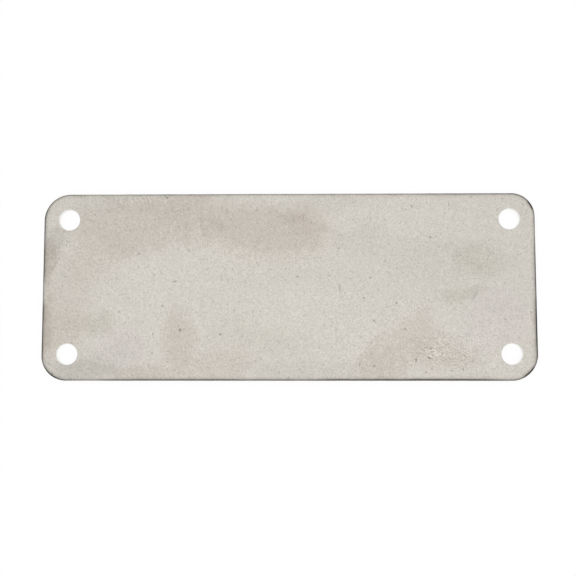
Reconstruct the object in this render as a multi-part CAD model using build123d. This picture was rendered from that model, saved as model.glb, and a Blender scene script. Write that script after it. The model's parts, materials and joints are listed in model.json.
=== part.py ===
from build123d import *

import os
from math import radians, tan

# Blank aluminium tag
# A flat rectangle punched out of thin aluminium sheet. Its four corners are rounded, and a
# plain round hole in each corner takes a rivet, a screw or a wire. The marking face is left
# bare.
#
# The tag lies on its back. The origin is the middle of the back face, +X runs along the
# tag's length, +Y up its height and +Z out of the marking face.

# The blank, in inches, and the gauge of the sheet that it is cut from
tag_length = 3 * IN
tag_height = 1.14 * IN
sheet_thickness = 0.032 * IN
corner_radius = 5 / 32 * IN

# The corner holes, each measured to its centre
hole_diameter = 1 / 8 * IN
hole_from_end = 5 / 32 * IN
hole_from_side = 0.16 * IN

# A punch shears cleanly through part of the sheet, and the rest of the cut breaks away at
# a draft, in degrees.
fracture_share = 0.4
fracture_draft = 5
fracture_depth = fracture_share * sheet_thickness

# Blanking draws the marking face's rim down into a die roll, and tumbling takes the burr
# off the rim of the back.
rim_roll_radius = 0.22
rim_break_radius = 0.08

# The holes are pierced from the back, so their die roll is on that side.
hole_roll_radius = 0.14
hole_break_radius = 0.05

# The largest share of the sheet's thickness that one rounded edge may take
edge_share = 0.45


def blanked_sheet():
    """The rounded rectangle as it drops out of the die: a straight wall over a broken one
    that leans in to the back."""
    outline = Pos(0, 0, fracture_depth) * RectangleRounded(tag_length, tag_height, corner_radius)
    sheared = extrude(outline, amount=sheet_thickness - fracture_depth)
    broken = extrude(outline, amount=fracture_depth, dir=(0, 0, -1), taper=fracture_draft)
    return sheared + broken


def piercing():
    """What one punch takes out on its way up from the back: a straight bore, then a break
    that widens to the marking face."""
    radius = hole_diameter / 2
    shear_line = sheet_thickness - fracture_depth
    overrun = sheet_thickness
    widening = overrun * tan(radians(fracture_draft))
    bore = Pos(0, 0, shear_line / 2) * Cylinder(radius, shear_line + 2 * overrun)
    break_out = Pos(0, 0, shear_line + overrun / 2) * Cone(radius, radius + widening, overrun)
    return bore + break_out


def pierced(sheet):
    """The sheet with a hole through each corner."""
    pitch_x = tag_length - 2 * hole_from_end
    pitch_y = tag_height - 2 * hole_from_side
    return sheet - GridLocations(pitch_x, pitch_y, 2, 2) * piercing()


def rounded(edges, radius):
    """The part with these edges rounded, as far as the sheet's thickness lets them."""
    return fillet(edges, radius=min(radius, edge_share * sheet_thickness))


def marking_face(tag):
    """The flat face on top."""
    return tag.faces().sort_by(Axis.Z)[-1]


def back_face(tag):
    """The flat face that the tag lies on."""
    return tag.faces().sort_by(Axis.Z)[0]


def hole_rims(face):
    """The circles where the holes break through a flat face."""
    return [edge for wire in face.inner_wires() for edge in wire.edges()]


def blank_tag():
    """The finished tag, one solid."""
    tag = pierced(blanked_sheet())
    tag = rounded(marking_face(tag).outer_wire().edges(), rim_roll_radius)
    tag = rounded(back_face(tag).outer_wire().edges(), rim_break_radius)
    tag = rounded(hole_rims(marking_face(tag)), hole_break_radius)
    tag = rounded(hole_rims(back_face(tag)), hole_roll_radius)
    return tag


os.makedirs("parts", exist_ok=True)
export_step(blank_tag(), "parts/blank_tag.step")
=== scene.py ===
"""A blank aluminium tag lying face up on a white table, seen from above.

The tag is one piece of thin sheet, punched to a rounded rectangle and pierced with a hole in
each corner. This script rebuilds its surface finely enough to show how it was cut, gives it
the dull and lightly stained finish of old mill stock, with shade painted along its rim and on
its outer wall and highlights painted into its colour, and sets up the table, the light and
the camera.

Sizes are in millimetres and angles in degrees until a mesh or an object is made from them,
because Blender's own are in metres and radians.
"""

import json
import logging
import math
from collections.abc import Iterable, Iterator
from dataclasses import dataclass, field
from enum import Enum
from typing import Any

import bmesh
import bpy
import numpy as np
from mathutils import Matrix, Vector


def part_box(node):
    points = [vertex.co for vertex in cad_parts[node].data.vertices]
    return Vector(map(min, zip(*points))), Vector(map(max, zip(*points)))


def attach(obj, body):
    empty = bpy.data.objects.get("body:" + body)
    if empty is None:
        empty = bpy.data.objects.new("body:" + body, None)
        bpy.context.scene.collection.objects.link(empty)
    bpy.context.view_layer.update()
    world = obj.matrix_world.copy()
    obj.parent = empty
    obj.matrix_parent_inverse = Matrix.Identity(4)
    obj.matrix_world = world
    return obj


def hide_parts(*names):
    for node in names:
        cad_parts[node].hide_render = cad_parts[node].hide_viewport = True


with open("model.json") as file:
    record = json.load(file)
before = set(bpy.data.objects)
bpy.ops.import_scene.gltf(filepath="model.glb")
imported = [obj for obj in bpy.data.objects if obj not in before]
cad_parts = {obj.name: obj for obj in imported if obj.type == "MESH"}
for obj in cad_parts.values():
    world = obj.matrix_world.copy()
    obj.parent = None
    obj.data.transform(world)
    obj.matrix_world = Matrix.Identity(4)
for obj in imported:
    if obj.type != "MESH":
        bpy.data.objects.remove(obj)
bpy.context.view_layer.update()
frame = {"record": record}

log = logging.getLogger("tag")

NODE = "blank_tag"
METRE = 0.001

Value = Any  # a number, a colour, a vector, or the output socket of a node


class Quadrant(Enum):
    """A corner of the tag, as the signs of its X and its Y, in anticlockwise order."""

    UPPER_RIGHT = (1, 1)
    UPPER_LEFT = (-1, 1)
    LOWER_LEFT = (-1, -1)
    LOWER_RIGHT = (1, -1)


class Zone(Enum):
    """A stretch of the tag's skin that has a finish of its own, as its material's number."""

    MARKING_FACE = 0
    BACK_FACE = 1
    OUTER_WALL = 2
    HOLE_WALL = 3


def linked(name: str, data: bpy.types.ID) -> bpy.types.Object:
    """Makes an object at the origin and links it to the scene.

    Args:
        name: Its name.
        data: Its mesh, lamp or camera.

    Returns:
        The object.
    """
    made = bpy.data.objects.new(name, data)
    bpy.context.scene.collection.objects.link(made)
    return made


# Sheet metal


@dataclass(frozen=True)
class ShearedEdge:
    """The section of a punched edge, from the face that the punch enters to the other.

    The punch draws the first face down into a die roll, then shears a straight bright band,
    and the rest of the sheet breaks away at a lean and keeps a small broken rim.
    """

    roll_reach: float
    roll_drop: float
    sheared_depth: float
    lean_degrees: float
    rim_break: float
    roll_rows: int = 10
    wall_rows: int = 4
    break_rows: int = 4

    def rows(self, thickness: float) -> np.ndarray:
        """The section as a line of points.

        The roll is a quarter of an ellipse, so it leaves the face level and ends upright. The
        broken stretch is a straight line at the lean, and its rim is a quarter of a circle.

        Args:
            thickness: The sheet's thickness.

        Returns:
            Rows of (inset from the outline, depth below the punched face).
        """
        quarter = np.linspace(0, math.pi / 2, self.roll_rows + 1)
        roll = np.column_stack([
            self.roll_reach * (1 - np.sin(quarter)), self.roll_drop * (1 - np.cos(quarter))])
        sheared = np.column_stack([
            np.zeros(self.wall_rows - 1),
            np.linspace(self.roll_drop, self.sheared_depth, self.wall_rows + 1)[1:-1]])
        broken_depth = np.linspace(self.sheared_depth, thickness - self.rim_break, self.wall_rows + 1)
        slope = math.tan(math.radians(self.lean_degrees))
        broken = np.column_stack([slope * (broken_depth - self.sheared_depth), broken_depth])
        quarter = np.linspace(0, math.pi / 2, self.break_rows + 1)[1:]
        rim = np.column_stack([
            broken[-1, 0] + self.rim_break * (1 - np.cos(quarter)),
            thickness - self.rim_break * (1 - np.sin(quarter))])
        return np.concatenate([roll, sheared, broken, rim])


@dataclass(frozen=True)
class Ripple:
    """A smooth uneven field in space, made of plane waves with random directions and phases."""

    wavelengths: tuple[float, ...]
    seed: int

    def at(self, points: np.ndarray) -> np.ndarray:
        """The mean of the cosines of (2 pi / wavelength times the distance along the wave, plus
        its phase), which lies between -1 and 1.

        Args:
            points: Places, with their two or three coordinates along the last axis.

        Returns:
            The field at each place.
        """
        draw = np.random.default_rng(self.seed)
        total = np.zeros(points.shape[:-1])
        for wavelength in self.wavelengths:
            way = draw.normal(size=points.shape[-1])
            way /= np.linalg.norm(way)
            total += np.cos(2 * math.pi / wavelength * (points @ way) + draw.uniform(0, 2 * math.pi))
        return total / len(self.wavelengths)


@dataclass
class Skin:
    """Gathers grids of points into one mesh, each with the zone that it belongs to."""

    points: list[np.ndarray] = field(default_factory=list)
    quads: list[np.ndarray] = field(default_factory=list)
    zones: list[np.ndarray] = field(default_factory=list)
    count: int = 0

    def add(self, grid: np.ndarray, zone: Zone, closed: bool = False) -> None:
        """Adds a grid, and a four-sided face between each two rows and two columns.

        Args:
            grid: Points, by row, column and coordinate.
            zone: The zone of its faces.
            closed: Whether the last column joins the first.
        """
        rows, columns = grid.shape[:2]
        index = np.arange(rows * columns).reshape(rows, columns) + self.count
        if closed:
            index = np.column_stack([index, index[:, :1]])
        quads = np.stack([index[:-1, :-1], index[:-1, 1:], index[1:, 1:], index[1:, :-1]], -1)
        quads = quads.reshape(-1, 4)
        self.points.append(grid.reshape(-1, 3))
        self.quads.append(quads)
        self.zones.append(np.full(len(quads), zone.value))
        self.count += rows * columns

    def object(self, name: str, seam: float) -> bpy.types.Object:
        """The mesh as an object at the origin, its grids sewn together and its faces turned out.

        Args:
            name: The object's name.
            seam: Points nearer than this are one.

        Returns:
            The linked object.
        """
        mesh = bpy.data.meshes.new(name)
        points = np.concatenate(self.points) * METRE
        mesh.from_pydata(points.tolist(), [], np.concatenate(self.quads).tolist())
        mesh.polygons.foreach_set("material_index", np.concatenate(self.zones).astype(np.int32))
        sewn = bmesh.new()
        sewn.from_mesh(mesh)
        bmesh.ops.remove_doubles(sewn, verts=sewn.verts, dist=seam * METRE)
        bmesh.ops.recalc_face_normals(sewn, faces=sewn.faces)
        sewn.to_mesh(mesh)
        sewn.free()
        mesh.shade_smooth()
        return linked(name, mesh)


@dataclass(frozen=True)
class Hole:
    """A round hole, by its centre and radius."""

    x: float
    y: float
    radius: float


@dataclass
class TagSheet:
    """The tag's whole skin, as one closed surface.

    Each face is nine blocks. The five that make its cross are plain grids, and in each of the
    four at the corners the grid runs from the hole's circle out to the block's sides. The
    outer wall is the sheared section carried round the outline, and each hole's wall is
    another one carried round its circle.
    """

    half_length: float
    half_height: float
    thickness: float
    holes: dict[Quadrant, Hole]
    corner_radii: dict[Quadrant, float]
    rim: ShearedEdge
    pierced: ShearedEdge
    grid_pitch: float = 0.3
    corner_steps: int = 14
    arc_steps: int = 20
    ring_steps: int = 11
    seam: float = 0.002
    bend_rise: float = 0.035
    bend: Ripple = Ripple((64.0, 47.0, 83.0, 31.0), seed=4)
    wander_depth: float = 0.02
    wander: Ripple = Ripple((9.0, 5.2, 3.1, 1.9, 14.0), seed=11)
    crumble_depth: float = 0.02
    crumble: Ripple = Ripple((0.9, 0.63, 1.4, 0.75, 1.1), seed=23)

    @property
    def flat_thickness(self) -> float:
        """The sheet's own thickness, less than the space that it fills once it is bent."""
        return self.thickness - self.bend_rise

    @property
    def split(self) -> np.ndarray:
        """Where the corner blocks begin, so far from each hole as the hole is from the edge."""
        hole = self.holes[Quadrant.UPPER_RIGHT]
        return np.array([2 * hole.x - self.half_length, 2 * hole.y - self.half_height])

    def corner_run(self, quadrant: Quadrant) -> tuple[np.ndarray, np.ndarray]:
        """The outline round one corner, from block side to block side: a straight stretch, an
        arc of the corner's radius, and a straight stretch.

        Args:
            quadrant: The corner.

        Returns:
            Its points and their outward normals, in anticlockwise order.
        """
        radius = self.corner_radii[quadrant]
        split_x, split_y = self.split
        centre = np.array([self.half_length - radius, self.half_height - radius])
        upright = np.linspace(split_y, centre[1], self.corner_steps + 1)[:-1]
        turn = np.linspace(0, math.pi / 2, self.arc_steps + 1)[:-1]
        level = np.linspace(centre[0], split_x, self.corner_steps + 1)
        arc = np.column_stack([np.cos(turn), np.sin(turn)])
        points = np.concatenate([
            np.column_stack([np.full_like(upright, self.half_length), upright]),
            centre + radius * arc,
            np.column_stack([level, np.full_like(level, self.half_height)])])
        normals = np.concatenate([
            np.tile([1.0, 0.0], (len(upright), 1)), arc, np.tile([0.0, 1.0], (len(level), 1))])
        order = 1 if math.prod(quadrant.value) > 0 else -1
        return (points * quadrant.value)[::order], (normals * quadrant.value)[::order]

    def steps(self, length: float) -> int:
        """How many grid steps a stretch takes."""
        return round(length / self.grid_pitch)

    def outline(self) -> tuple[np.ndarray, np.ndarray]:
        """The whole outline, corner run by corner run with a straight side after each.

        Returns:
            Its points and outward normals, in anticlockwise order, the first not repeated.
        """
        runs = [self.corner_run(quadrant) for quadrant in Quadrant]
        points, normals = [], []
        for (run, run_normals), (following, _) in zip(runs, runs[1:] + runs[:1]):
            gap = following[0] - run[-1]
            count = self.steps(np.abs(gap).max())
            along = np.linspace(0, 1, count + 1)[1:-1, None]
            points += [run, run[-1] + along * gap]
            normals += [run_normals, np.tile(run_normals[-1], (count - 1, 1))]
        return np.concatenate(points), np.concatenate(normals)

    def face_blocks(self, inset: float, hole_gap: float) -> Iterator[tuple[np.ndarray, bool]]:
        """The nine blocks of a face, in plan.

        Args:
            inset: How far inside the outline the face ends.
            hole_gap: How far outside a hole's circle it begins.

        Yields:
            Each block's grid of (x, y), and whether its last column joins the first.
        """
        split_x, split_y = self.split
        middle_x = np.linspace(-split_x, split_x, self.steps(2 * split_x) + 1)
        middle_y = np.linspace(-split_y, split_y, self.steps(2 * split_y) + 1)
        margin_x, margin_y = self.margins(inset)
        crosses = [(middle_x, middle_y), (middle_x, margin_y), (middle_x, -margin_y),
                   (margin_x, middle_y), (-margin_x, middle_y)]
        for across, up in crosses:
            yield np.stack(np.meshgrid(across, up), -1), False
        for quadrant, hole in self.holes.items():
            border = self.block_border(quadrant, inset)
            circle = (hole.x, hole.y) + (hole.radius + hole_gap) * self.spokes(quadrant, hole)
            share = np.linspace(0, 1, self.ring_steps + 1)[:, None, None]
            yield circle + share * (border - circle), True

    def margins(self, inset: float) -> tuple[np.ndarray, np.ndarray]:
        """Where a corner block's columns and rows lie on its two sides that meet the cross.

        Args:
            inset: How far inside the outline the face ends.

        Returns:
            The columns' X and the rows' Y, on the sides of positive X and Y.
        """
        split_x, split_y = self.split
        return (np.linspace(split_x, self.half_length - inset, self.corner_steps + 1),
                np.linspace(split_y, self.half_height - inset, self.corner_steps + 1))

    def block_border(self, quadrant: Quadrant, inset: float) -> np.ndarray:
        """The closed border of a corner block, in plan.

        Args:
            quadrant: The corner.
            inset: How far inside the outline the face ends.

        Returns:
            The outline's run, moved in, and then the two sides that meet the cross.
        """
        points, normals = self.corner_run(quadrant)
        outer = points - inset * normals
        split_x, split_y = self.split
        margin_x, margin_y = self.margins(inset)
        down = np.column_stack([np.full_like(margin_y, split_x), margin_y])[::-1]
        back = np.column_stack([margin_x, np.full_like(margin_x, split_y)])
        inner = np.concatenate([down[1:], back[1:-1]]) * quadrant.value
        if math.prod(quadrant.value) < 0:
            inner = inner[::-1]
        return np.concatenate([outer, inner])

    def spokes(self, quadrant: Quadrant, hole: Hole) -> np.ndarray:
        """The directions from a hole's centre to the points of its corner block's border.

        Both faces and the hole's wall take the same ones, so that their points meet.

        Args:
            quadrant: The corner.
            hole: Its hole.

        Returns:
            One unit vector for each point.
        """
        ways = self.block_border(quadrant, inset=0.0) - (hole.x, hole.y)
        return ways / np.linalg.norm(ways, axis=1)[:, None]

    def wall(self, path: np.ndarray, outward: np.ndarray, section: np.ndarray) -> np.ndarray:
        """A section carried along a closed path: each of its points goes in along the normal by
        its inset, and up to its height.

        The wall wanders a little from the punch's clean line, and crumbles where it broke. Both
        only cut inwards, and neither moves the two rows that meet the faces.

        Args:
            path: The path's points in plan.
            outward: Their normals, pointing out of the metal.
            section: Rows of (inset, height, share of the wander, share of the crumbling).

        Returns:
            A grid of points.
        """
        inset, height, free, broken = (column[:, None] for column in section.T)
        places = np.concatenate([
            np.broadcast_to(path, (len(section), *path.shape)),
            np.broadcast_to(height[..., None], (len(section), len(path), 1))], -1)
        wander = self.wander_depth * free * (1 + self.wander.at(path)) / 2
        crumble = self.crumble_depth * broken * (1 + self.crumble.at(places)) / 2
        depth = inset + wander + crumble
        flat = path - depth[..., None] * outward
        return np.concatenate([flat, places[..., 2:]], -1)

    def section(self, edge: ShearedEdge, from_above: bool) -> np.ndarray:
        """A sheared edge's rows, with the height of each, how freely it wanders and how broken
        it is.

        The wander fades out over the die roll as the inset grows, and over the broken rim as
        the height left to the last face shrinks. The crumbling is strongest in the middle of
        the broken stretch.

        Args:
            edge: The edge.
            from_above: Whether the punch entered at the marking face.

        Returns:
            Rows of (inset, height, share of the wander, share of the crumbling).
        """
        inset, depth = edge.rows(self.flat_thickness).T
        left = self.flat_thickness - depth
        height = left if from_above else depth
        free = (1 - inset / edge.roll_reach) * np.clip(left / edge.rim_break, 0, 1)
        ends = (edge.sheared_depth, self.flat_thickness - edge.rim_break)
        middle = (ends[0] + ends[1]) / 2
        broken = np.clip(1 - np.abs(depth - middle) / (middle - ends[0]), 0, 1)
        return np.column_stack([inset, height, free, broken])

    def build(self) -> bpy.types.Object:
        """The tag's mesh object.

        The flat tag's points all rise by the bend at their place in plan, so the sheet keeps
        its thickness.

        Returns:
            The linked object.
        """
        skin = Skin()
        rim = self.section(self.rim, from_above=True)
        pierced = self.section(self.pierced, from_above=False)
        faces = [(rim[0], pierced[-1], Zone.MARKING_FACE), (rim[-1], pierced[0], Zone.BACK_FACE)]
        for rim_end, hole_end, zone in faces:
            for block, closed in self.face_blocks(rim_end[0], hole_end[0]):
                level = np.full((*block.shape[:2], 1), rim_end[1])
                skin.add(np.concatenate([block, level], -1), zone, closed)
        outer = self.wall(*self.outline(), rim)
        roll = self.rim.roll_rows
        skin.add(outer[:roll], Zone.MARKING_FACE, closed=True)
        skin.add(outer[roll - 1:], Zone.OUTER_WALL, closed=True)
        roll = self.pierced.roll_rows
        for quadrant, hole in self.holes.items():
            spokes = self.spokes(quadrant, hole)
            inner = self.wall((hole.x, hole.y) + hole.radius * spokes, -spokes, pierced)
            skin.add(inner[:roll], Zone.BACK_FACE, closed=True)
            skin.add(inner[roll - 1:], Zone.HOLE_WALL, closed=True)
        skin.points = [self.bent(points) for points in skin.points]
        made = skin.object("tag_sheet", self.seam)
        self.measure(made)
        return made

    def bent(self, points: np.ndarray) -> np.ndarray:
        """Points of the flat tag, each raised by (1 + the bend's field) / 2 of the rise."""
        lift = self.bend_rise * (1 + self.bend.at(points[:, :2])) / 2
        return points + np.column_stack([np.zeros((len(points), 2)), lift])

    def measure(self, made: bpy.types.Object) -> None:
        """Stores on each point how far it is inside the outline.

        The distance is a rounded rectangle's: the corner radius, less the length of how far the
        point is past the corner arc's centre in X and Y, or less the larger of the two where
        neither is past it.

        Args:
            made: The tag's object.
        """
        points = np.empty(len(made.data.vertices) * 3)
        made.data.vertices.foreach_get("co", points)
        plan = points.reshape(-1, 3)[:, :2] / METRE
        radius = np.empty(len(plan))
        for quadrant, size in self.corner_radii.items():
            radius[(plan * quadrant.value >= 0).all(axis=1)] = size
        past = np.abs(plan) - np.column_stack([self.half_length - radius, self.half_height - radius])
        from_rim = radius - np.linalg.norm(np.maximum(past, 0), axis=1) - np.minimum(past.max(axis=1), 0)
        layer = made.data.attributes.new("from_rim", "FLOAT", "POINT")
        layer.data.foreach_set("value", from_rim.astype(np.float32))


# Shader nodes


def grey(level: float) -> tuple[float, float, float, float]:
    """A neutral colour, as a node takes it."""
    return level, level, level, 1.0


def turned(degrees: float) -> tuple[float, float, float]:
    """A turn about Z, as a node takes it."""
    return 0.0, 0.0, math.radians(degrees)


class Board:
    """Places nodes in one tree and links them, so that a formula reads as nested calls."""

    def __init__(self, tree: bpy.types.NodeTree) -> None:
        """Starts on an emptied tree."""
        self.tree = tree
        tree.nodes.clear()

    def node(self, kind: str, **settings: Value) -> bpy.types.Node:
        """Adds a node.

        Args:
            kind: Its type.
            settings: Its properties by name.

        Returns:
            The node.
        """
        made = self.tree.nodes.new(kind)
        for name, value in settings.items():
            setattr(made, name, value)
        return made

    def feed(self, socket: bpy.types.NodeSocket, value: Value) -> None:
        """Links an output to a socket, or sets the socket to a plain value.

        Args:
            socket: The input.
            value: The output or the plain value.
        """
        if isinstance(value, bpy.types.NodeSocket):
            self.tree.links.new(value, socket)
        else:
            socket.default_value = value

    def fill(self, sockets: Iterable[bpy.types.NodeSocket], values: Iterable[Value]) -> None:
        """Feeds sockets one after another."""
        for socket, value in zip(sockets, values):
            self.feed(socket, value)

    def math(self, operation: str, *values: Value, clamp: bool = False) -> bpy.types.NodeSocket:
        """Adds a Math node.

        Args:
            operation: What it does.
            values: The numbers that it takes.
            clamp: Whether its result is kept between 0 and 1.

        Returns:
            Its result.
        """
        made = self.node("ShaderNodeMath", operation=operation, use_clamp=clamp)
        self.fill(made.inputs, values)
        return made.outputs[0]

    def weighted(self, start: Value, terms: Iterable[tuple[Value, float]]) -> Value:
        """A sum of values times their weights.

        A term is asked for only when the one before it has been added, because the renderer
        has room for only so many values that wait.

        Args:
            start: What the sum begins with.
            terms: Pairs of (value, weight).

        Returns:
            The sum.
        """
        for value, weight in terms:
            start = self.math("MULTIPLY_ADD", value, weight, start)
        return start

    def centred(self, value: Value, spread: Value) -> bpy.types.NodeSocket:
        """How far a value is from 0.5, times the spread."""
        return self.math("MULTIPLY", self.math("SUBTRACT", value, 0.5), spread)

    def vector(self, operation: str, *values: Value, scale: Value = 1.0) -> bpy.types.NodeSocket:
        """Adds a Vector Math node.

        Args:
            operation: What it does.
            values: The vectors that it takes.
            scale: The factor that SCALE takes.

        Returns:
            Its result, which is a number for DOT_PRODUCT.
        """
        made = self.node("ShaderNodeVectorMath", operation=operation)
        self.fill(made.inputs, values)
        if operation == "SCALE":
            self.feed(made.inputs["Scale"], scale)
        return made.outputs["Value" if operation == "DOT_PRODUCT" else "Vector"]

    def fade(self, value: Value, start: Value, end: Value) -> bpy.types.NodeSocket:
        """A smooth step.

        Args:
            value: What it follows.
            start: The value at which it is 0.
            end: The value at which it is 1.

        Returns:
            The step.
        """
        made = self.node("ShaderNodeMapRange", interpolation_type="SMOOTHSTEP")
        self.fill(made.inputs, (value, start, end))
        return made.outputs["Result"]

    def noise(self, place: Value, size: Value, detail: float = 2.0,
              roughness: float = 0.5) -> bpy.types.NodeSocket:
        """Noise between about 0.2 and 0.8.

        Args:
            place: Where it is read.
            size: The size of its features.
            detail: How many finer layers it has.
            roughness: How strong they are.

        Returns:
            The noise.
        """
        made = self.node("ShaderNodeTexNoise")
        made.inputs["Detail"].default_value = detail
        made.inputs["Roughness"].default_value = roughness
        made.inputs["Scale"].default_value = 1.0
        self.feed(made.inputs["Vector"], self.vector("SCALE", place, scale=self.math("DIVIDE", 1.0, size)))
        return made.outputs["Fac"]

    def tint(self, colour: Value, by: Value, amount: Value, blend: str = "MULTIPLY") -> bpy.types.NodeSocket:
        """Dyes a colour.

        Args:
            colour: The colour.
            by: The one that it is multiplied by, or turned into by a blend of MIX.
            amount: How far, from 0 to 1.
            blend: The way.

        Returns:
            The dyed colour.
        """
        made = self.node("ShaderNodeMix", data_type="RGBA", blend_type=blend)
        self.fill((made.inputs[0], *made.inputs[6:8]), (amount, colour, by))
        return made.outputs[2]

    def between(self, share: Value, first: Value, second: Value) -> bpy.types.NodeSocket:
        """Mixes two numbers.

        Args:
            share: The second one's share, from 0 to 1.
            first: One number.
            second: The other.

        Returns:
            The mixed number.
        """
        made = self.node("ShaderNodeMix", data_type="FLOAT")
        self.fill((made.inputs[0], *made.inputs[2:4]), (share, first, second))
        return made.outputs[0]

    def choose(self, share: Value, first: bpy.types.Node, second: bpy.types.Node) -> bpy.types.Node:
        """Mixes two shaders.

        Args:
            share: The second one's share, from 0 to 1.
            first: The node of one shader.
            second: The node of the other.

        Returns:
            The node that mixes them.
        """
        made = self.node("ShaderNodeMixShader")
        self.fill(made.inputs, (share, first.outputs[0], second.outputs[0]))
        return made

    def place(self) -> bpy.types.NodeSocket:
        """The point being shaded, in the tag's own frame and in millimetres."""
        coordinates = self.node("ShaderNodeTexCoord")
        return self.vector("SCALE", coordinates.outputs["Object"], scale=1 / METRE)

    def stored(self, name: str) -> bpy.types.NodeSocket:
        """A number that the mesh stores on its points."""
        return self.node("ShaderNodeAttribute", attribute_name=name).outputs["Fac"]

    def end_metal(self, colour: Value, roughness: Value, height: Value, rise: float) -> None:
        """Ends a material as bare metal.

        Args:
            colour: Its colour.
            roughness: Its roughness.
            height: Its relief, as a share of the rise.
            rise: How high 1 stands.
        """
        surface = self.node("ShaderNodeBsdfPrincipled")
        surface.inputs["Metallic"].default_value = 1.0
        relief = self.node("ShaderNodeBump")
        relief.inputs["Strength"].default_value = 1.0
        relief.inputs["Distance"].default_value = rise * METRE
        self.feed(relief.inputs["Height"], height)
        for name, value in (("Base Color", colour), ("Roughness", roughness), ("Normal", relief.outputs[0])):
            self.feed(surface.inputs[name], value)
        out = self.node("ShaderNodeOutputMaterial")
        self.feed(out.inputs["Surface"], surface.outputs[0])


def blank_material(name: str) -> tuple[bpy.types.Material, Board]:
    """Makes a material.

    Args:
        name: Its name.

    Returns:
        The material and the board of its emptied tree.
    """
    made = bpy.data.materials.new(name)
    made.use_nodes = True
    return made, Board(made.node_tree)


class ShaderGroup:
    """A node group with named inputs and outputs, built once and placed where it is needed.

    A subclass gives its name, its inputs with their starting values, its outputs and its wiring.
    A three-part starting value makes a vector socket, and any other a number.
    """

    name: str
    inputs: dict[str, Value]
    outputs: tuple[str, ...]

    def wire(self, board: Board, given: dict[str, bpy.types.NodeSocket]) -> tuple[Value, ...]:
        """Adds the group's nodes.

        Args:
            board: The group's own board.
            given: Its inputs by name.

        Returns:
            One value for each output, in order.
        """
        raise NotImplementedError

    def tree(self) -> bpy.types.NodeTree:
        """The group's tree, made on its first use.

        Returns:
            The tree.
        """
        found = bpy.data.node_groups.get(self.name)
        if found:
            return found
        tree = bpy.data.node_groups.new(self.name, "ShaderNodeTree")
        board = Board(tree)
        for name, start in self.inputs.items():
            kind = "NodeSocketVector" if isinstance(start, tuple) else "NodeSocketFloat"
            socket = tree.interface.new_socket(name, in_out="INPUT", socket_type=kind)
            socket.default_value = start
        for name in self.outputs:
            tree.interface.new_socket(name, in_out="OUTPUT", socket_type="NodeSocketFloat")
        entry, leaving = board.node("NodeGroupInput"), board.node("NodeGroupOutput")
        made = self.wire(board, {name: entry.outputs[name] for name in self.inputs})
        board.fill(leaving.inputs, made)
        return tree

    def put(self, board: Board, **values: Value) -> list[bpy.types.NodeSocket]:
        """Places the group on a board.

        Args:
            board: Where it goes.
            values: Its inputs, named in lower case with _ for a space.

        Returns:
            Its outputs, in order.
        """
        made = board.node("ShaderNodeGroup", node_tree=self.tree())
        for name, value in values.items():
            board.feed(made.inputs[name.replace("_", " ").capitalize()], value)
        return [made.outputs[name] for name in self.outputs]


class Patch(ShaderGroup):
    """A soft-edged oval patch of any length, width and turn."""

    name = "Oval patch"
    inputs = {"Place": (0.0, 0.0, 0.0), "Centre": (0.0, 0.0, 0.0), "Along": (1.0, 0.0, 0.0),
              "Across": (0.0, 1.0, 0.0), "Outer": 1.5, "Inner": 0.5, "Fray": 0.0}
    outputs = ("Mask",)

    def wire(self, board: Board, given: dict[str, bpy.types.NodeSocket]) -> tuple[Value, ...]:
        """The way from the centre, measured along the oval's two axes with their half lengths
        as the units, gives a radius that is 1 on its border. The fray is added to that, and
        the mask is a smooth step from 0 at the outer radius to 1 at the inner one.

        Args:
            board: The group's own board.
            given: Its inputs by name.

        Returns:
            The mask.
        """
        way = board.vector("SUBTRACT", given["Place"], given["Centre"])
        along = board.vector("DOT_PRODUCT", way, given["Along"])
        across = board.vector("DOT_PRODUCT", way, given["Across"])
        squares = board.math("MULTIPLY_ADD", across, across, board.math("MULTIPLY", along, along))
        radius = board.math("ADD", board.math("SQRT", squares), given["Fray"])
        return (board.fade(radius, given["Outer"], given["Inner"]),)


class Scatter(ShaderGroup):
    """Small marks strewn at random, round or drawn out along one direction."""

    name = "Scattered marks"
    inputs = {"Place": (0.0, 0.0, 0.0), "Turn": (0.0, 0.0, 0.0), "Stretch": (1.0, 1.0, 1.0),
              "Spacing": 1.5, "Radius": 0.1, "Share": 0.3}
    outputs = ("Mask",)
    smallest = 0.4
    faintest = 0.35

    def wire(self, board: Board, given: dict[str, bpy.types.NodeSocket]) -> tuple[Value, ...]:
        """The plane is turned, and shrunk along the marks until they are round. Each cell of it
        holds one random point, of which a share is used. Each has a size of its own, from the
        smallest share of the radius to 1 more, and the mask fades out over that size, times a
        strength from the faintest to 1.

        Args:
            board: The group's own board.
            given: Its inputs by name.

        Returns:
            The mask.
        """
        own = board.node("ShaderNodeMapping", vector_type="TEXTURE")
        board.fill(own.inputs, (given["Place"], (0.0, 0.0, 0.0), given["Turn"], given["Stretch"]))
        cells = board.node("ShaderNodeTexVoronoi", voronoi_dimensions="2D", feature="F1")
        cells.inputs["Scale"].default_value = 1.0
        board.feed(cells.inputs["Vector"], board.vector(
            "SCALE", own.outputs[0], scale=board.math("DIVIDE", 1.0, given["Spacing"])))
        distance = board.math("MULTIPLY", cells.outputs["Distance"], given["Spacing"])
        draws = board.node("ShaderNodeSeparateColor")
        board.feed(draws.inputs[0], cells.outputs["Color"])
        used = board.math("LESS_THAN", draws.outputs[0], given["Share"])
        size = board.math("MULTIPLY", given["Radius"], board.math("ADD", self.smallest, draws.outputs[1]))
        spot = board.fade(distance, size, 0.0)
        strength = board.weighted(self.faintest, ((draws.outputs[2], 1 - self.faintest),))
        return (board.math("MULTIPLY", board.math("MULTIPLY", spot, used), strength),)


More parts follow.
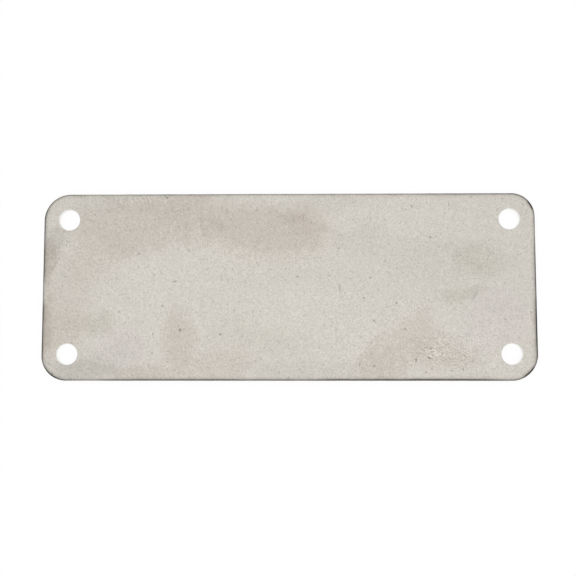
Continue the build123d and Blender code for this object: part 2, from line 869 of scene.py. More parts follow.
class SheetGrain(ShaderGroup):
    """The mottled grain of rolled sheet that has been handled and has dulled."""

    name = "Sheet grain"
    inputs = {"Place": (0.0, 0.0, 0.0), "Grain": 0.23, "Mottle": 1.1, "Cloud": 9.0}
    outputs = ("Grain", "Mottle", "Cloud")

    def wire(self, board: Board, given: dict[str, bpy.types.NodeSocket]) -> tuple[Value, ...]:
        """Three noises from fine to broad, each spread to lie between about -1 and 1.

        Args:
            board: The group's own board.
            given: Its inputs by name.

        Returns:
            The grain, the mottle and the cloud.
        """
        fields = []
        for name, detail, spread in (("Grain", 3.0, 5.0), ("Mottle", 3.0, 4.5), ("Cloud", 2.0, 4.0)):
            raw = board.noise(given["Place"], given[name], detail, roughness=0.55)
            fields.append(board.centred(raw, spread))
        return tuple(fields)


# Marks


class Tint(Enum):
    """What a patch multiplies the metal's colour by: a stain's film tints it, and PALE lightens it."""

    BROWN = (0.915, 0.885, 0.870)
    UMBER = (0.800, 0.765, 0.745)
    OLIVE = (0.925, 0.925, 0.905)
    GREY = (0.905, 0.910, 0.915)
    COOL = (1.025, 1.014, 1.048)
    PALE = (1.045, 1.045, 1.045)


@dataclass(frozen=True)
class Oval:
    """A soft oval on a face, by its centre, its half sizes and its turn."""

    x: float
    y: float
    half_length: float
    half_width: float
    turn: float

    def mask(self, board: Board, place: Value, softness: float = 0.6,
             fray: Value = 0.0) -> bpy.types.NodeSocket:
        """Places its patch.

        Args:
            board: Where it goes.
            place: The point being shaded.
            softness: How far its border fades in and out, as a share of its radius.
            fray: What makes its border uneven.

        Returns:
            Its mask.
        """
        cos, sin = math.cos(math.radians(self.turn)), math.sin(math.radians(self.turn))
        mask, = Patch().put(
            board, place=place, centre=(self.x, self.y, 0.0),
            along=(cos / self.half_length, sin / self.half_length, 0.0),
            across=(-sin / self.half_width, cos / self.half_width, 0.0),
            outer=1 + softness, inner=1 - softness, fray=fray)
        return mask


@dataclass(frozen=True)
class Stain(Oval):
    """A faint film, or with the PALE tint a lighter patch, whose border a noise makes uneven."""

    tint: Tint
    strength: float
    softness: float = 0.55


@dataclass(frozen=True)
class Spot(Oval):
    """A nick, a scratch, a painted highlight, a patch of strokes, a scuffed place whose grain is harsher or
    milder than the rest, or a place where the painted shade on the rim is stronger or weaker.
    """

    strength: float


@dataclass(frozen=True)
class Chatter:
    """A patch of fine parallel strokes, side by side along a turned line at an even pitch."""

    area: Spot
    turn: float
    pitch: float


@dataclass(frozen=True)
class Strewn:
    """A layer of small marks strewn at random, each as many times as long as it is wide."""

    spacing: float
    radius: float
    share: float
    turn: float = 0.0
    length: float = 1.0
    strength: float = 1.0

    def mask(self, board: Board, place: Value) -> bpy.types.NodeSocket:
        """Places its marks.

        Args:
            board: Where they go.
            place: The point being shaded.

        Returns:
            Their mask.
        """
        mask, = Scatter().put(
            board, place=place, turn=turned(self.turn), stretch=(self.length, 1.0, 1.0),
            spacing=self.spacing, radius=self.radius, share=self.share)
        return mask


def gathered(board: Board, place: Value, marks: Iterable[Spot | Strewn], start: Value = 0.0) -> Value:
    """The start, plus each mark's mask times its strength."""
    return board.weighted(start, ((mark.mask(board, place), mark.strength) for mark in marks))


SPECKS = (
    Strewn(0.55, 0.13, 0.32, strength=0.74),
    Strewn(2.1, 0.16, 0.17, turn=63),
    Strewn(1.0, 0.08, 0.25, turn=83, length=5.0),
    Strewn(1.3, 0.08, 0.25, turn=128, length=5.0),
)

# Painted highlights: fine bright specks that lighten the colour.
SPARKLE = (Strewn(0.75, 0.13, 0.44, turn=21),)

HAIRLINES = (
    Strewn(0.5, 0.07, 0.22, turn=84, length=30.0),
    Strewn(0.8, 0.07, 0.22, turn=97, length=50.0),
    Strewn(1.1, 0.07, 0.22, turn=12, length=40.0),
    Strewn(1.3, 0.07, 0.22, turn=141, length=35.0),
)


# Finishes


@dataclass(frozen=True)
class SheetFinish:
    """The finish of a rolled and handled face, with shade painted along its rim as a dark line.

    A shade is how far a mark changes the colour, a haze how far it changes the roughness, and
    a height how far it stands out of the face, as a share of the relief.
    """

    name: str
    metal: tuple[float, float, float]
    roughness: float
    stains: tuple[Stain, ...]
    nicks: tuple[Spot, ...]
    # Spots that make the painted shade on the rim stronger or weaker.
    rim_shade_spots: tuple[Spot, ...] = ()
    scuffs: tuple[Spot, ...] = ()
    # Painted highlights.
    glints: tuple[Spot, ...] = ()
    chatter: tuple[Chatter, ...] = ()
    shift: float = 0.0
    grain_shade: float = 0.128
    mottle_shade: float = 0.034
    cloud_shade: float = 0.010
    speck_shade: float = 0.48
    # How far a painted highlight, a glint or the sparkle, lightens the colour.
    glint_shade: float = 0.22
    scratch_shade: float = 0.10
    film_haze: float = 0.08
    mottle_haze: float = 0.02
    scratch_haze: float = -0.15
    rim_shade_haze: float = 0.1
    grain_height: float = 0.12
    mottle_height: float = 0.15
    speck_height: float = -0.8
    scratch_height: float = -0.4
    relief: float = 0.012
    # These fields set the painted shade on the rim: a near-black line along the rolled edge.
    rim_shade_colour: tuple[float, float, float] = (0.035, 0.03, 0.027)
    rim_shade_reach: float = 0.17
    rim_shade_strength: float = 1.35
    rim_shade_base: float = 0.6
    rim_shade_uneven: float = 0.8
    rim_shade_noise_size: float = 2.2
    warp: float = 3.5
    warp_scale: float = 0.22
    fray: float = 1.1
    fray_size: float = 1.7
    stroke_bend: float = 1.6
    stroke_bend_size: float = 1.1
    harsh_base: float = 0.5
    harsh_size: float = 6.0

    def dress(self) -> bpy.types.Material:
        """Its material: metal whose colour, roughness and relief all follow the same marks.

        Returns:
            The material.
        """
        made, board = blank_material(self.name)
        place = board.place()
        elsewhere = board.vector("ADD", place, (0.0, 0.0, self.shift))
        grain, mottle, cloud = SheetGrain().put(board, place=elsewhere)
        place = board.vector("MULTIPLY", place, (1.0, 1.0, 0.0))
        grain = board.math("MULTIPLY", grain, self.harshness(board, place))
        stroked = board.math("ADD", grain, self.rubbed(board, place))
        light = board.weighted(1.0, (
            (stroked, self.grain_shade), (mottle, self.mottle_shade), (cloud, self.cloud_shade)))
        colour = board.vector("SCALE", self.metal, scale=light)
        colour, film = self.stained(board, colour, place)
        colour, specks = self.pitted(board, colour, place)
        colour, scratches = self.scratched(board, colour, place)
        # Painted shade: a dark line along the rolled rim.
        colour, rim = self.rim_shaded(board, colour, place)
        rough = board.weighted(self.roughness, (
            (film, self.film_haze), (mottle, self.mottle_haze),
            (scratches, self.scratch_haze), (rim, self.rim_shade_haze)))
        height = board.weighted(0.0, (
            (grain, self.grain_height), (mottle, self.mottle_height),
            (specks, self.speck_height), (scratches, self.scratch_height)))
        board.end_metal(colour, rough, height, self.relief)
        return made

    def harshness(self, board: Board, place: Value) -> Value:
        """How strong the grain is at each place: uneven all over, and more so on the scuffs."""
        uneven = board.math("ADD", self.harsh_base, board.noise(place, self.harsh_size))
        return gathered(board, place, self.scuffs, uneven)

    def rubbed(self, board: Board, place: Value) -> Value:
        """The strokes of every chattered patch: the sine of 2 pi / pitch times the distance
        across them, which a noise bends.

        Args:
            board: Where they go.
            place: The point being shaded.

        Returns:
            Their height, between -1 and 1.
        """
        total: Value = 0.0
        noise = board.noise(place, self.stroke_bend_size, detail=3.0)
        bend = board.math("MULTIPLY", noise, self.stroke_bend)
        for patch in self.chatter:
            turn = math.radians(patch.turn)
            across = board.vector("DOT_PRODUCT", place, (math.cos(turn), math.sin(turn), 0.0))
            phase = board.math("MULTIPLY", board.math("ADD", across, bend), 2 * math.pi / patch.pitch)
            stroke = board.math("SINE", phase)
            strength = board.math("MULTIPLY", patch.area.mask(board, place), patch.area.strength)
            total = board.math("MULTIPLY_ADD", stroke, strength, total)
        return total

    def stained(self, board: Board, colour: Value, place: Value) -> tuple[Value, Value]:
        """Lays the stains on, their outlines bent by one noise and frayed by another.

        Args:
            board: Where they go.
            colour: The colour under them.
            place: The point being shaded.

        Returns:
            The colour, and how much film lies on each point.
        """
        warp = board.node("ShaderNodeTexNoise")
        warp.inputs["Scale"].default_value = self.warp_scale
        warp.inputs["Detail"].default_value = 3.0
        board.feed(warp.inputs["Vector"], place)
        shift = board.vector("SUBTRACT", warp.outputs["Color"], (0.5, 0.5, 0.5))
        shift = board.vector("MULTIPLY", shift, (self.warp, self.warp, 0.0))
        bent = board.vector("ADD", place, shift)
        noise = board.noise(place, self.fray_size, detail=4.0, roughness=0.62)
        fray = board.centred(noise, self.fray)
        film: Value = 0.0
        for stain in self.stains:
            mask = stain.mask(board, bent, stain.softness, fray)
            amount = board.math("MULTIPLY", mask, stain.strength)
            colour = board.tint(colour, (*stain.tint.value, 1.0), amount)
            film = board.math("MAXIMUM", film, amount)
        return colour, film

    def pitted(self, board: Board, colour: Value, place: Value) -> tuple[Value, Value]:
        """Adds the specks and nicks, which are dark, and the sparkle and glints, which are painted
        highlights that lighten the colour.

        Args:
            board: Where they go.
            colour: The colour under them.
            place: The point being shaded.

        Returns:
            The colour, and the specks' mask.
        """
        specks = gathered(board, place, SPECKS)
        dark = board.math("ADD", gathered(board, place, self.nicks), specks, clamp=True)
        colour = board.tint(colour, grey(1 - self.speck_shade), dark)
        # Painted highlights: the sparkle and the glints lighten the colour.
        sparkle = gathered(board, place, SPARKLE)
        bright = board.math("ADD", gathered(board, place, self.glints), sparkle, clamp=True)
        return board.tint(colour, grey(1 + self.glint_shade), bright), specks

    def scratched(self, board: Board, colour: Value, place: Value) -> tuple[Value, Value]:
        """The colour with its hairlines, which mostly run up and down the tag, and their mask."""
        lines = gathered(board, place, HAIRLINES)
        return board.tint(colour, grey(1 - self.scratch_shade), board.math("MINIMUM", lines, 1.0)), lines

    def rim_shaded(self, board: Board, colour: Value, place: Value) -> tuple[Value, Value]:
        """Paints shade on the rolled rim: a near-black line, mixed into the colour, that stands in for how
        dark the rim looks in the light.

        The line fades with e to the power of (-1 times how far inside the outline the point is,
        over the line's reach). Its strength is the rim's own, made uneven by a noise, plus the
        spots that make this painted shade stronger or weaker.

        Args:
            board: Where it goes.
            colour: The colour under it.
            place: The point being shaded.

        Returns:
            The colour, and the line's mask.
        """
        inside = board.stored("from_rim")
        noise = board.noise(place, self.rim_shade_noise_size, detail=3.0)
        uneven = board.weighted(self.rim_shade_base, ((noise, self.rim_shade_uneven),))
        strength = board.math("MULTIPLY", uneven, self.rim_shade_strength)
        strength = gathered(board, place, self.rim_shade_spots, strength)
        fall = board.math("EXPONENT", board.math("DIVIDE", inside, -self.rim_shade_reach))
        line = board.math("MULTIPLY", fall, strength, clamp=True)
        return board.tint(colour, (*self.rim_shade_colour, 1.0), line, "MIX"), line


@dataclass(frozen=True)
class CutFinish:
    """The finish of a cut wall: a band that the punch drew smooth, and a coarser broken one.

    The bands are told apart by their height over the back face. The border between them wavers,
    and drag lines run up and down the drawn one.
    """

    name: str
    drawn: tuple[float, float, float]
    broken: tuple[float, float, float]
    drawn_height: tuple[float, float]
    drawn_roughness: float = 0.3
    broken_roughness: float = 0.55
    blend: float = 0.03
    waver: float = 0.12
    waver_size: float = 0.5
    drag_size: float = 0.07
    drag_spread: float = 3.0
    drag_flattening: float = 0.06
    drag_height: float = 0.25
    grain_size: float = 0.1
    shade: float = 0.1
    relief: float = 0.004

    def dress(self) -> bpy.types.Material:
        """Its material. The drag lines are noise that hardly changes with height, and the broken
        band has the sheet's grain at a smaller size.

        Returns:
            The material.
        """
        made, board = blank_material(self.name)
        place = board.place()
        parts = board.node("ShaderNodeSeparateXYZ")
        board.feed(parts.inputs[0], place)
        low, high = self.drawn_height
        waver = board.centred(board.noise(place, self.waver_size), self.waver)
        height = board.math("ADD", parts.outputs["Z"], waver)
        smooth = board.math(
            "MULTIPLY", board.fade(height, low - self.blend, low + self.blend),
            board.fade(height, high + self.blend, high - self.blend))
        flat = board.vector("MULTIPLY", place, (1.0, 1.0, self.drag_flattening))
        lines = board.centred(board.noise(flat, self.drag_size), self.drag_spread)
        grain, _, _ = SheetGrain().put(board, place=place, grain=self.grain_size)
        light = board.weighted(1.0, ((board.between(smooth, grain, lines), self.shade),))
        colour = board.tint((*self.broken, 1.0), (*self.drawn, 1.0), smooth, "MIX")
        rough = board.between(smooth, self.broken_roughness, self.drawn_roughness)
        relief = board.between(smooth, grain, board.math("MULTIPLY", lines, self.drag_height))
        board.end_metal(board.vector("SCALE", colour, scale=light), rough, relief, self.relief)
        return made


# The studio


@dataclass(frozen=True)
class Table:
    """The white table top that the tag lies on.

    The camera, and what the metal mirrors, see it at plain white, and it keeps a share of the
    tag's soft shadow. Seen from underneath it is clear, so that the tag's back shows.
    """

    half_width: float = 600.0
    sunk: float = 0.02
    matte: float = 0.85
    white: float = 1.02
    shadow_share: float = 0.14

    def build(self) -> None:
        """The table's mesh and material."""
        corners = [(x * self.half_width * METRE, y * self.half_width * METRE, -self.sunk * METRE)
                   for x, y in ((-1, -1), (1, -1), (1, 1), (-1, 1))]
        mesh = bpy.data.meshes.new("table_top")
        mesh.from_pydata(corners, [], [(0, 1, 2, 3)])
        mesh.materials.append(self.dress())
        linked("table_top", mesh)

    def dress(self) -> bpy.types.Material:
        """Its material.

        Returns:
            The material.
        """
        made, board = blank_material("white table")
        rays = board.node("ShaderNodeLightPath")
        matte, shaded = board.node("ShaderNodeBsdfDiffuse"), board.node("ShaderNodeBsdfDiffuse")
        matte.inputs["Color"].default_value = grey(self.matte)
        shaded.inputs["Color"].default_value = grey(self.shadow_share)
        glow, mirrored = board.node("ShaderNodeEmission"), board.node("ShaderNodeEmission")
        glow.inputs["Strength"].default_value = self.white - self.shadow_share
        mirrored.inputs["Strength"].default_value = 1.0
        seen = board.node("ShaderNodeAddShader")
        board.fill(seen.inputs, (shaded.outputs[0], glow.outputs[0]))
        bounced = board.math("MAXIMUM", rays.outputs["Is Glossy Ray"], rays.outputs["Is Transmission Ray"])
        top = board.choose(rays.outputs["Is Camera Ray"], matte, seen)
        top = board.choose(bounced, top, mirrored)
        side = board.node("ShaderNodeNewGeometry").outputs["Backfacing"]
        clear = board.node("ShaderNodeBsdfTransparent")
        out = board.node("ShaderNodeOutputMaterial")
        board.feed(out.inputs["Surface"], board.choose(side, top, clear).outputs[0])
        return made


@dataclass(frozen=True)
class Lighting:
    """An even white room and one large soft lamp over the table."""

    room_strength: float = 0.75
    lamp_size: float = 620.0
    lamp_height: float = 520.0
    lamp_offset: tuple[float, float] = (-10.0, -10.0)
    lamp_radiance: float = 0.46

    def build(self) -> None:
        """The world and the lamp."""
        world = bpy.data.worlds.new("room")
        bpy.context.scene.world = world
        world.use_nodes = True
        board = Board(world.node_tree)
        rays = board.node("ShaderNodeLightPath")
        shades = [board.node("ShaderNodeBackground"), board.node("ShaderNodeBackground")]
        for shade, strength in zip(shades, (self.room_strength, 1.0)):
            board.fill(shade.inputs, (grey(1.0), strength))
        out = board.node("ShaderNodeOutputWorld")
        seen = board.choose(rays.outputs["Is Camera Ray"], *shades)
        board.feed(out.inputs["Surface"], seen.outputs[0])
        side = self.lamp_size * METRE
        data = bpy.data.lights.new("overhead_panel", "AREA")
        data.shape, data.size = "SQUARE", side
        data.energy = self.lamp_radiance * math.pi * side * side
        made = linked("overhead_panel", data)
        made.location = Vector((*self.lamp_offset, self.lamp_height)) * METRE
        made.rotation_euler = (-made.location).to_track_quat("-Z", "Y").to_euler()


@dataclass(frozen=True)
class Viewpoint:
    """The camera, above the tag and a little towards its lower side, which widens that side."""

    lens: float = 50.0
    sensor: float = 36.0
    distance: float = 124.17
    lean: float = 4.58
    swing: float = 0.95
    roll: float = -0.016
    aim: tuple[float, float] = (-0.082, -0.191)
    nearest: float = 10.0
    furthest: float = 5000.0

    def build(self) -> None:
        """The scene's camera, which looks along its own -Z at the aim point."""
        turn = (Matrix.Rotation(math.radians(self.swing), 4, "Y")
                @ Matrix.Rotation(math.radians(self.lean), 4, "X")
                @ Matrix.Rotation(math.radians(self.roll), 4, "Z"))
        back = turn.to_3x3() @ Vector((0.0, 0.0, self.distance))
        data = bpy.data.cameras.new("camera")
        data.lens, data.sensor_width = self.lens, self.sensor
        data.clip_start, data.clip_end = self.nearest * METRE, self.furthest * METRE
        made = linked("camera", data)
        made.matrix_world = Matrix.Translation((Vector((*self.aim, 0.0)) + back) * METRE) @ turn
        bpy.context.scene.camera = made


# The marks on each face

# Besides the stains, the PALE patches make the face lighter in its middle and near its lower right corner,
# and the narrow upright UMBER strips make it darker along its left and right edges.
FRONT_STAINS = (
    Stain(-24.3, 9.5, 9.5, 4.4, 3, Tint.BROWN, 0.62, 0.35),
    Stain(-29.5, 12.9, 4.5, 1.5, 0, Tint.GREY, 0.3),
    Stain(-14.3, 12.2, 6.5, 2.6, 0, Tint.BROWN, 0.5),
    Stain(-13.6, 9.6, 3.4, 3.4, 0, Tint.BROWN, 0.4),
    Stain(-3.3, 8.5, 9.5, 4.1, -4, Tint.BROWN, 0.80, 0.36),
    Stain(-20.5, 13.4, 7.0, 1.4, 0, Tint.UMBER, 0.2),
    Stain(0.4, 10.7, 1.8, 1.1, 20, Tint.UMBER, 0.25),
    Stain(3.4, 10.4, 2.8, 2.4, 0, Tint.BROWN, 0.5),
    Stain(10.7, 7.1, 3.8, 2.6, 0, Tint.GREY, 0.35),
    Stain(-29.1, 4.5, 4.2, 2.8, 30, Tint.BROWN, 0.35),
    Stain(-33.7, -1.0, 6.5, 3.4, 80, Tint.BROWN, 0.32),
    Stain(-29.6, -5.4, 2.6, 1.9, 0, Tint.OLIVE, 0.7),
    Stain(-35.2, -6.8, 3.2, 3.6, 0, Tint.BROWN, 0.5),
    Stain(-37.4, 4.2, 3.0, 1.3, 90, Tint.UMBER, 0.8),
    Stain(-37.6, -5.7, 4.6, 1.0, 90, Tint.UMBER, 0.6),
    Stain(-36.0, 7.4, 2.2, 1.6, 60, Tint.GREY, 0.8),
    Stain(-16.7, -8.4, 4.9, 2.4, 96, Tint.BROWN, 0.62, 0.45),
    Stain(-10.4, -12.2, 5.0, 2.2, 0, Tint.BROWN, 0.5),
    Stain(3.0, -12.9, 10.0, 1.7, 0, Tint.GREY, 0.4),
    Stain(-4.4, -7.7, 8.0, 2.6, -8, Tint.OLIVE, 0.35),
    Stain(17.2, -9.3, 6.6, 2.9, 53, Tint.BROWN, 0.44, 0.24),
    Stain(13.2, -11.8, 3.8, 1.8, 40, Tint.BROWN, 0.5),
    Stain(13.0, -8.9, 3.6, 0.6, 55, Tint.UMBER, 0.28, 0.3),
    Stain(23.2, -10.2, 5.0, 2.6, -12, Tint.BROWN, 0.5),
    Stain(29.2, 4.1, 4.4, 2.7, -20, Tint.OLIVE, 0.7),
    Stain(26.4, -1.3, 3.8, 1.2, 6, Tint.OLIVE, 0.75),
    Stain(20.2, 3.5, 8.0, 4.5, 0, Tint.GREY, 0.3),
    Stain(32.1, -5.8, 4.4, 4.6, 0, Tint.COOL, 0.9),
    Stain(-25.8, -9.0, 3.6, 2.4, 0, Tint.COOL, 0.9),
    Stain(-31.5, -13.0, 5.0, 1.6, 0, Tint.GREY, 0.8),
    Stain(-31.0, -11.9, 7.0, 2.2, 2, Tint.GREY, 0.4),
    Stain(-22.0, -13.4, 6.0, 1.3, 0, Tint.BROWN, 0.6),
    Stain(4.0, 13.2, 8.0, 1.3, 0, Tint.GREY, 0.35),
    Stain(1.5, -0.5, 14.0, 6.0, -6, Tint.PALE, 0.9),
    Stain(0.5, -3.0, 9.0, 3.4, 0, Tint.PALE, 0.5),
    Stain(33.2, -10.0, 4.6, 5.0, 0, Tint.PALE, 1.0),
    Stain(34.6, -12.3, 4.4, 2.6, 0, Tint.PALE, 1.2),
    Stain(38.0, -8.0, 5.0, 0.6, 90, Tint.UMBER, 0.4),
)

FRONT_NICKS = (
    Spot(-16.7, -6.7, 0.21, 0.17, 90, 1.0),
    Spot(-10.5, -7.4, 0.185, 0.16, 0, 0.9),
    Spot(21.9, 7.6, 0.185, 0.15, 0, 0.75),
    Spot(11.6, -1.8, 0.18, 0.16, 0, 0.75),
    Spot(1.4, 1.5, 0.175, 0.15, 0, 0.75),
    Spot(-23.2, 5.1, 0.19, 0.14, 40, 0.75),
    Spot(-26.2, -3.9, 0.19, 0.14, 70, 0.7),
    Spot(-19.5, -3.0, 0.165, 0.14, 0, 0.7),
    Spot(7.9, -0.3, 0.6, 0.095, 88, 0.58),
    Spot(19.1, 12.4, 0.2, 0.13, 88, 0.75),
    Spot(7.8, 5.9, 0.21, 0.12, 0, 0.6),
    Spot(12.6, 1.3, 0.17, 0.15, 0, 0.7),
    Spot(17.9, -6.6, 0.25, 0.1, -30, 0.75),
    Spot(13.1, -5.3, 0.2, 0.11, 88, 0.8),
    Spot(16.6, -2.6, 0.165, 0.15, 0, 0.85),
    Spot(21.5, -11.0, 0.29, 0.12, -15, 0.9),
    Spot(19.5, -11.4, 0.31, 0.13, 82, 0.9),
    Spot(-18.9, 13.9, 0.21, 0.15, 0, 0.9),
    Spot(-17.6, 0.8, 0.32, 0.12, 20, 0.75),
    Spot(-18.3, -0.4, 0.35, 0.09, -35, 0.4),
    Spot(-19.2, -3.2, 0.55, 0.08, -65, 0.35),
    Spot(-9.3, 0.9, 0.5, 0.085, 88, 0.35),
    Spot(-7.1, -7.6, 0.75, 0.08, 52, 0.4),
    Spot(-26.6, 1.4, 0.8, 0.08, 88, 0.3),
    Spot(28.7, -1.4, 0.9, 0.18, 62, 0.28),
    Spot(25.7, 11.2, 0.7, 0.09, 62, 0.35),
    Spot(15.4, -3.1, 1.1, 0.09, 18, 0.25),
    Spot(-36.3, -13.4, 0.15, 0.14, 0, 0.8),
    Spot(21.0, -9.4, 0.31, 0.09, -5, 0.6),
    Spot(21.8, -9.6, 0.15, 0.11, 0, 0.9),
    Spot(13.1, -12.2, 0.17, 0.15, 0, 0.65),
    Spot(10.9, -11.9, 0.29, 0.12, 85, 0.6),
    Spot(21.0, -13.2, 0.17, 0.14, 30, 0.7),
    Spot(24.9, -12.9, 0.22, 0.1, 0, 0.7),
    Spot(21.9, -12.7, 0.16, 0.13, 0, 0.5),
)

# Painted highlights: bright glints that lighten the colour, most of them in the rough patch at the lower
# right.
FRONT_GLINTS = (
    Spot(22.4, -10.1, 0.3, 0.12, 0, 0.7),
    Spot(21.7, -10.8, 0.23, 0.15, -20, 1.0),
    Spot(23.2, -10.2, 0.28, 0.12, 85, 0.7),
    Spot(22.9, -9.0, 0.22, 0.13, 40, 0.6),
    Spot(20.9, -8.3, 0.22, 0.1, 0, 0.9),
    Spot(18.7, -11.7, 0.18, 0.13, 0, 0.7),
    Spot(24.4, -9.6, 0.17, 0.1, 0, 0.7),
    Spot(27.2, 12.8, 0.18, 0.13, 60, 0.5),
)

FRONT_CHATTER = (
    Chatter(Spot(-26.5, 13.5, 6.5, 1.0, 0, 0.5), 40, 0.52),
    Chatter(Spot(-19.5, 13.2, 2.8, 1.2, 0, 0.35), 40, 0.52),
    Chatter(Spot(-17.0, 12.2, 2.4, 1.6, 0, 0.3), 84, 0.6),
    Chatter(Spot(22.4, -9.8, 3.0, 2.2, 0, 0.75), 64, 0.5),
    Chatter(Spot(26.0, -11.0, 2.2, 2.4, 0, 0.6), 82, 0.5),
    Chatter(Spot(28.6, 3.0, 4.0, 2.4, 0, 0.35), 90, 0.42),
)

# Spots along the rim where the painted rim shade is stronger, or weaker where the strength is negative.
FRONT_RIM_SHADE = (
    Spot(-4.0, 15.0, 26.0, 2.0, 0, -0.6),
    Spot(-30.0, 15.0, 4.0, 1.5, 0, -0.5),
    Spot(38.0, -6.5, 1.5, 4.0, 0, 1.4),
    Spot(38.0, 1.5, 1.5, 4.5, 0, 0.5),
    Spot(38.0, 8.0, 1.5, 2.5, 0, -0.2),
    Spot(36.9, -13.3, 1.1, 1.0, 0, 2.0),
    Spot(37.6, 12.7, 0.7, 0.8, 0, 2.6),
    Spot(25.0, -14.5, 6.0, 1.5, 0, 1.2),
    Spot(12.5, -14.5, 7.0, 1.5, 0, 0.8),
    Spot(-16.0, -14.5, 9.0, 1.5, 0, 0.35),
    Spot(-31.0, -14.5, 2.5, 1.5, 0, -0.6),
    Spot(-36.6, -13.6, 1.3, 1.2, 0, 1.1),
    Spot(-38.0, -1.0, 1.5, 1.8, 0, -0.4),
    Spot(-38.0, -4.0, 1.5, 1.4, 0, 0.8),
    Spot(-38.0, 4.0, 1.5, 3.0, 0, 0.5),
    Spot(-38.0, -9.0, 1.5, 2.5, 0, 0.7),
    Spot(-38.0, 10.5, 1.5, 1.8, 0, 0.8),
)

FRONT_SCUFFS = (
    Spot(25.0, -9.8, 4.5, 2.6, 0, 0.5),
    Spot(12.0, -9.5, 9.0, 4.5, 0, 0.17),
    Spot(1.5, -1.5, 4.0, 2.5, 0, -0.18),
    Spot(34.0, -1.0, 4.0, 5.5, 0, -0.16),
    Spot(-9.0, 12.0, 9.5, 2.6, 0, -0.16),
    Spot(-34.0, 5.5, 2.6, 3.0, 0, 0.4),
    Spot(-19.0, 9.0, 4.0, 2.5, 0, 0.1),
)

# The PALE patch makes the back lighter in its middle, and the narrow upright UMBER strips make it darker
# along its left and right edges.
BACK_STAINS = (
    Stain(-12.0, -3.0, 14.0, 5.5, 12, Tint.BROWN, 0.5),
    Stain(-19.5, -5.5, 7.0, 3.4, 34, Tint.BROWN, 0.35, 0.4),
    Stain(-6.0, 0.5, 6.0, 2.2, -20, Tint.BROWN, 0.3, 0.5),
    Stain(21.0, 6.0, 11.0, 4.0, -25, Tint.OLIVE, 0.6),
    Stain(14.5, 9.5, 7.0, 2.4, -18, Tint.BROWN, 0.35, 0.4),
    Stain(8.0, -10.0, 10.0, 2.8, 5, Tint.GREY, 0.5),
    Stain(28.5, -9.5, 6.5, 3.2, 24, Tint.BROWN, 0.35, 0.5),
    Stain(-30.0, 8.0, 4.0, 3.0, 0, Tint.COOL, 0.8),
    Stain(-22.0, 10.5, 8.0, 2.2, 4, Tint.OLIVE, 0.5),
    Stain(2.0, 6.0, 10.0, 4.0, -10, Tint.PALE, 0.9),
    Stain(37.0, 2.0, 5.0, 1.2, 90, Tint.UMBER, 0.5),
    Stain(-37.3, -3.0, 6.0, 1.0, 90, Tint.UMBER, 0.5),
)

BACK_NICKS = (
    Spot(14.0, 2.0, 0.8, 0.1, 64, 0.6),
    Spot(-22.0, -6.0, 0.56, 0.11, 20, 0.6),
    Spot(-5.0, 9.0, 0.195, 0.17, 0, 0.9),
    Spot(26.5, -4.1, 0.2, 0.15, 30, 0.8),
    Spot(31.0, 8.8, 0.17, 0.15, 0, 0.7),
    Spot(3.2, -3.9, 0.25, 0.12, 110, 0.7),
    Spot(-13.4, 3.3, 0.18, 0.15, 0, 0.8),
    Spot(-28.6, 1.7, 0.45, 0.1, -35, 0.6),
    Spot(9.1, 11.2, 0.21, 0.14, 10, 0.8),
    Spot(-8.8, -11.9, 0.18, 0.16, 0, 0.9),
)

# Painted highlights on the back face.
BACK_GLINTS = (
    Spot(14.2, 2.3, 0.7, 0.09, 64, 0.6),
    Spot(-21.8, -5.8, 0.45, 0.1, 20, 0.6),
    Spot(5.6, 7.7, 0.2, 0.12, 75, 0.7),
    Spot(-32.4, -7.2, 0.22, 0.11, 0, 0.6),
)

BACK_SCUFFS = (
    Spot(18.0, -3.0, 6.0, 4.0, 0, 0.4),
    Spot(-25.0, 3.0, 5.0, 3.5, 0, 0.3),
)

BACK_CHATTER = (
    Chatter(Spot(11.5, -3.0, 4.0, 2.2, 0, 0.5), 30, 0.55),
    Chatter(Spot(-30.5, -10.5, 3.0, 1.8, 0, 0.5), 55, 0.5),
)


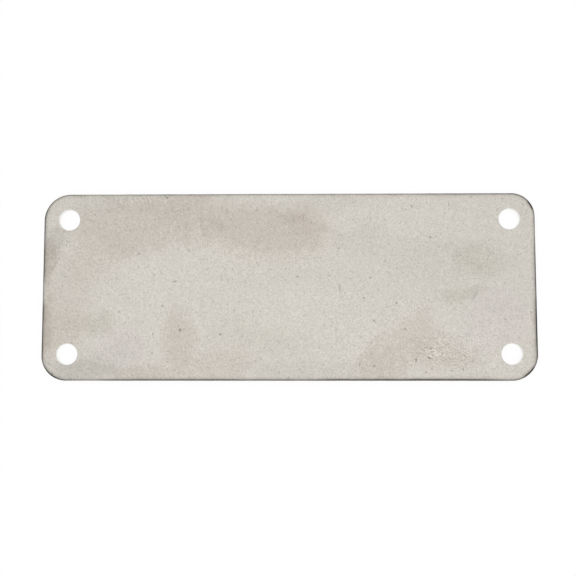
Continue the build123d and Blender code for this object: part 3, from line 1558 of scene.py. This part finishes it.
def tag_from_frame() -> TagSheet:
    """Reads the tag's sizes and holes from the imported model, and adds its edges and corners.

    Returns:
        The tag's sheet.
    """
    low, high = (np.array(corner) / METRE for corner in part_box(NODE))
    places = {f"hole_{quadrant.name.lower()}": quadrant for quadrant in Quadrant}
    holes = {}
    for mount in frame["record"]["mounts"]:
        if mount["name"] in places:
            x, y, _ = (part / METRE for part in mount["pos_m"])
            holes[places[mount["name"]]] = Hole(x, y, mount["dims"]["r_mm"])
    return TagSheet(
        half_length=high[0], half_height=high[1], thickness=high[2] - low[2], holes=holes,
        corner_radii={Quadrant.UPPER_RIGHT: 3.6, Quadrant.UPPER_LEFT: 4.1,
                      Quadrant.LOWER_LEFT: 3.85, Quadrant.LOWER_RIGHT: 4.05},
        rim=ShearedEdge(roll_reach=0.22, roll_drop=0.2, sheared_depth=0.46, lean_degrees=5, rim_break=0.08),
        pierced=ShearedEdge(roll_reach=0.14, roll_drop=0.14, sheared_depth=0.46, lean_degrees=5,
                            rim_break=0.05))


def main() -> None:
    """Builds the tag, its finishes, the table, the light and the camera."""
    logging.basicConfig(level=logging.INFO, format="%(name)s: %(message)s")
    bpy.context.scene.view_settings.view_transform = "Standard"
    Viewpoint().build()
    Table().build()
    Lighting().build()
    sheet = tag_from_frame().build()
    finishes = (
        SheetFinish("marking face", (0.63, 0.60, 0.545), 0.46, FRONT_STAINS, FRONT_NICKS,
                    FRONT_RIM_SHADE, FRONT_SCUFFS, FRONT_GLINTS, FRONT_CHATTER),
        # The back face has a fainter line of painted shade along its rim.
        SheetFinish("back face", (0.62, 0.592, 0.54), 0.46, BACK_STAINS, BACK_NICKS,
                    scuffs=BACK_SCUFFS, glints=BACK_GLINTS, chatter=BACK_CHATTER, shift=40.0,
                    rim_shade_strength=0.6),
        # Painted shade: the outer wall's colours are far darker than the hole wall's, though both are the
        # same cut metal, so that the tag's edge reads as a dark outline.
        CutFinish("outer wall", (0.30, 0.285, 0.27), (0.22, 0.21, 0.20), (0.34, 0.62)),
        CutFinish("hole wall", (0.93, 0.93, 0.925), (0.88, 0.87, 0.855), (0.14, 0.48),
                  broken_roughness=0.4))
    for finish in finishes:
        sheet.data.materials.append(finish.dress())
    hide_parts(NODE)
    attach(sheet, "root")
    log.info("%s: %d points, %d faces", sheet.name, len(sheet.data.vertices), len(sheet.data.polygons))


if __name__ == "__main__":
    main()
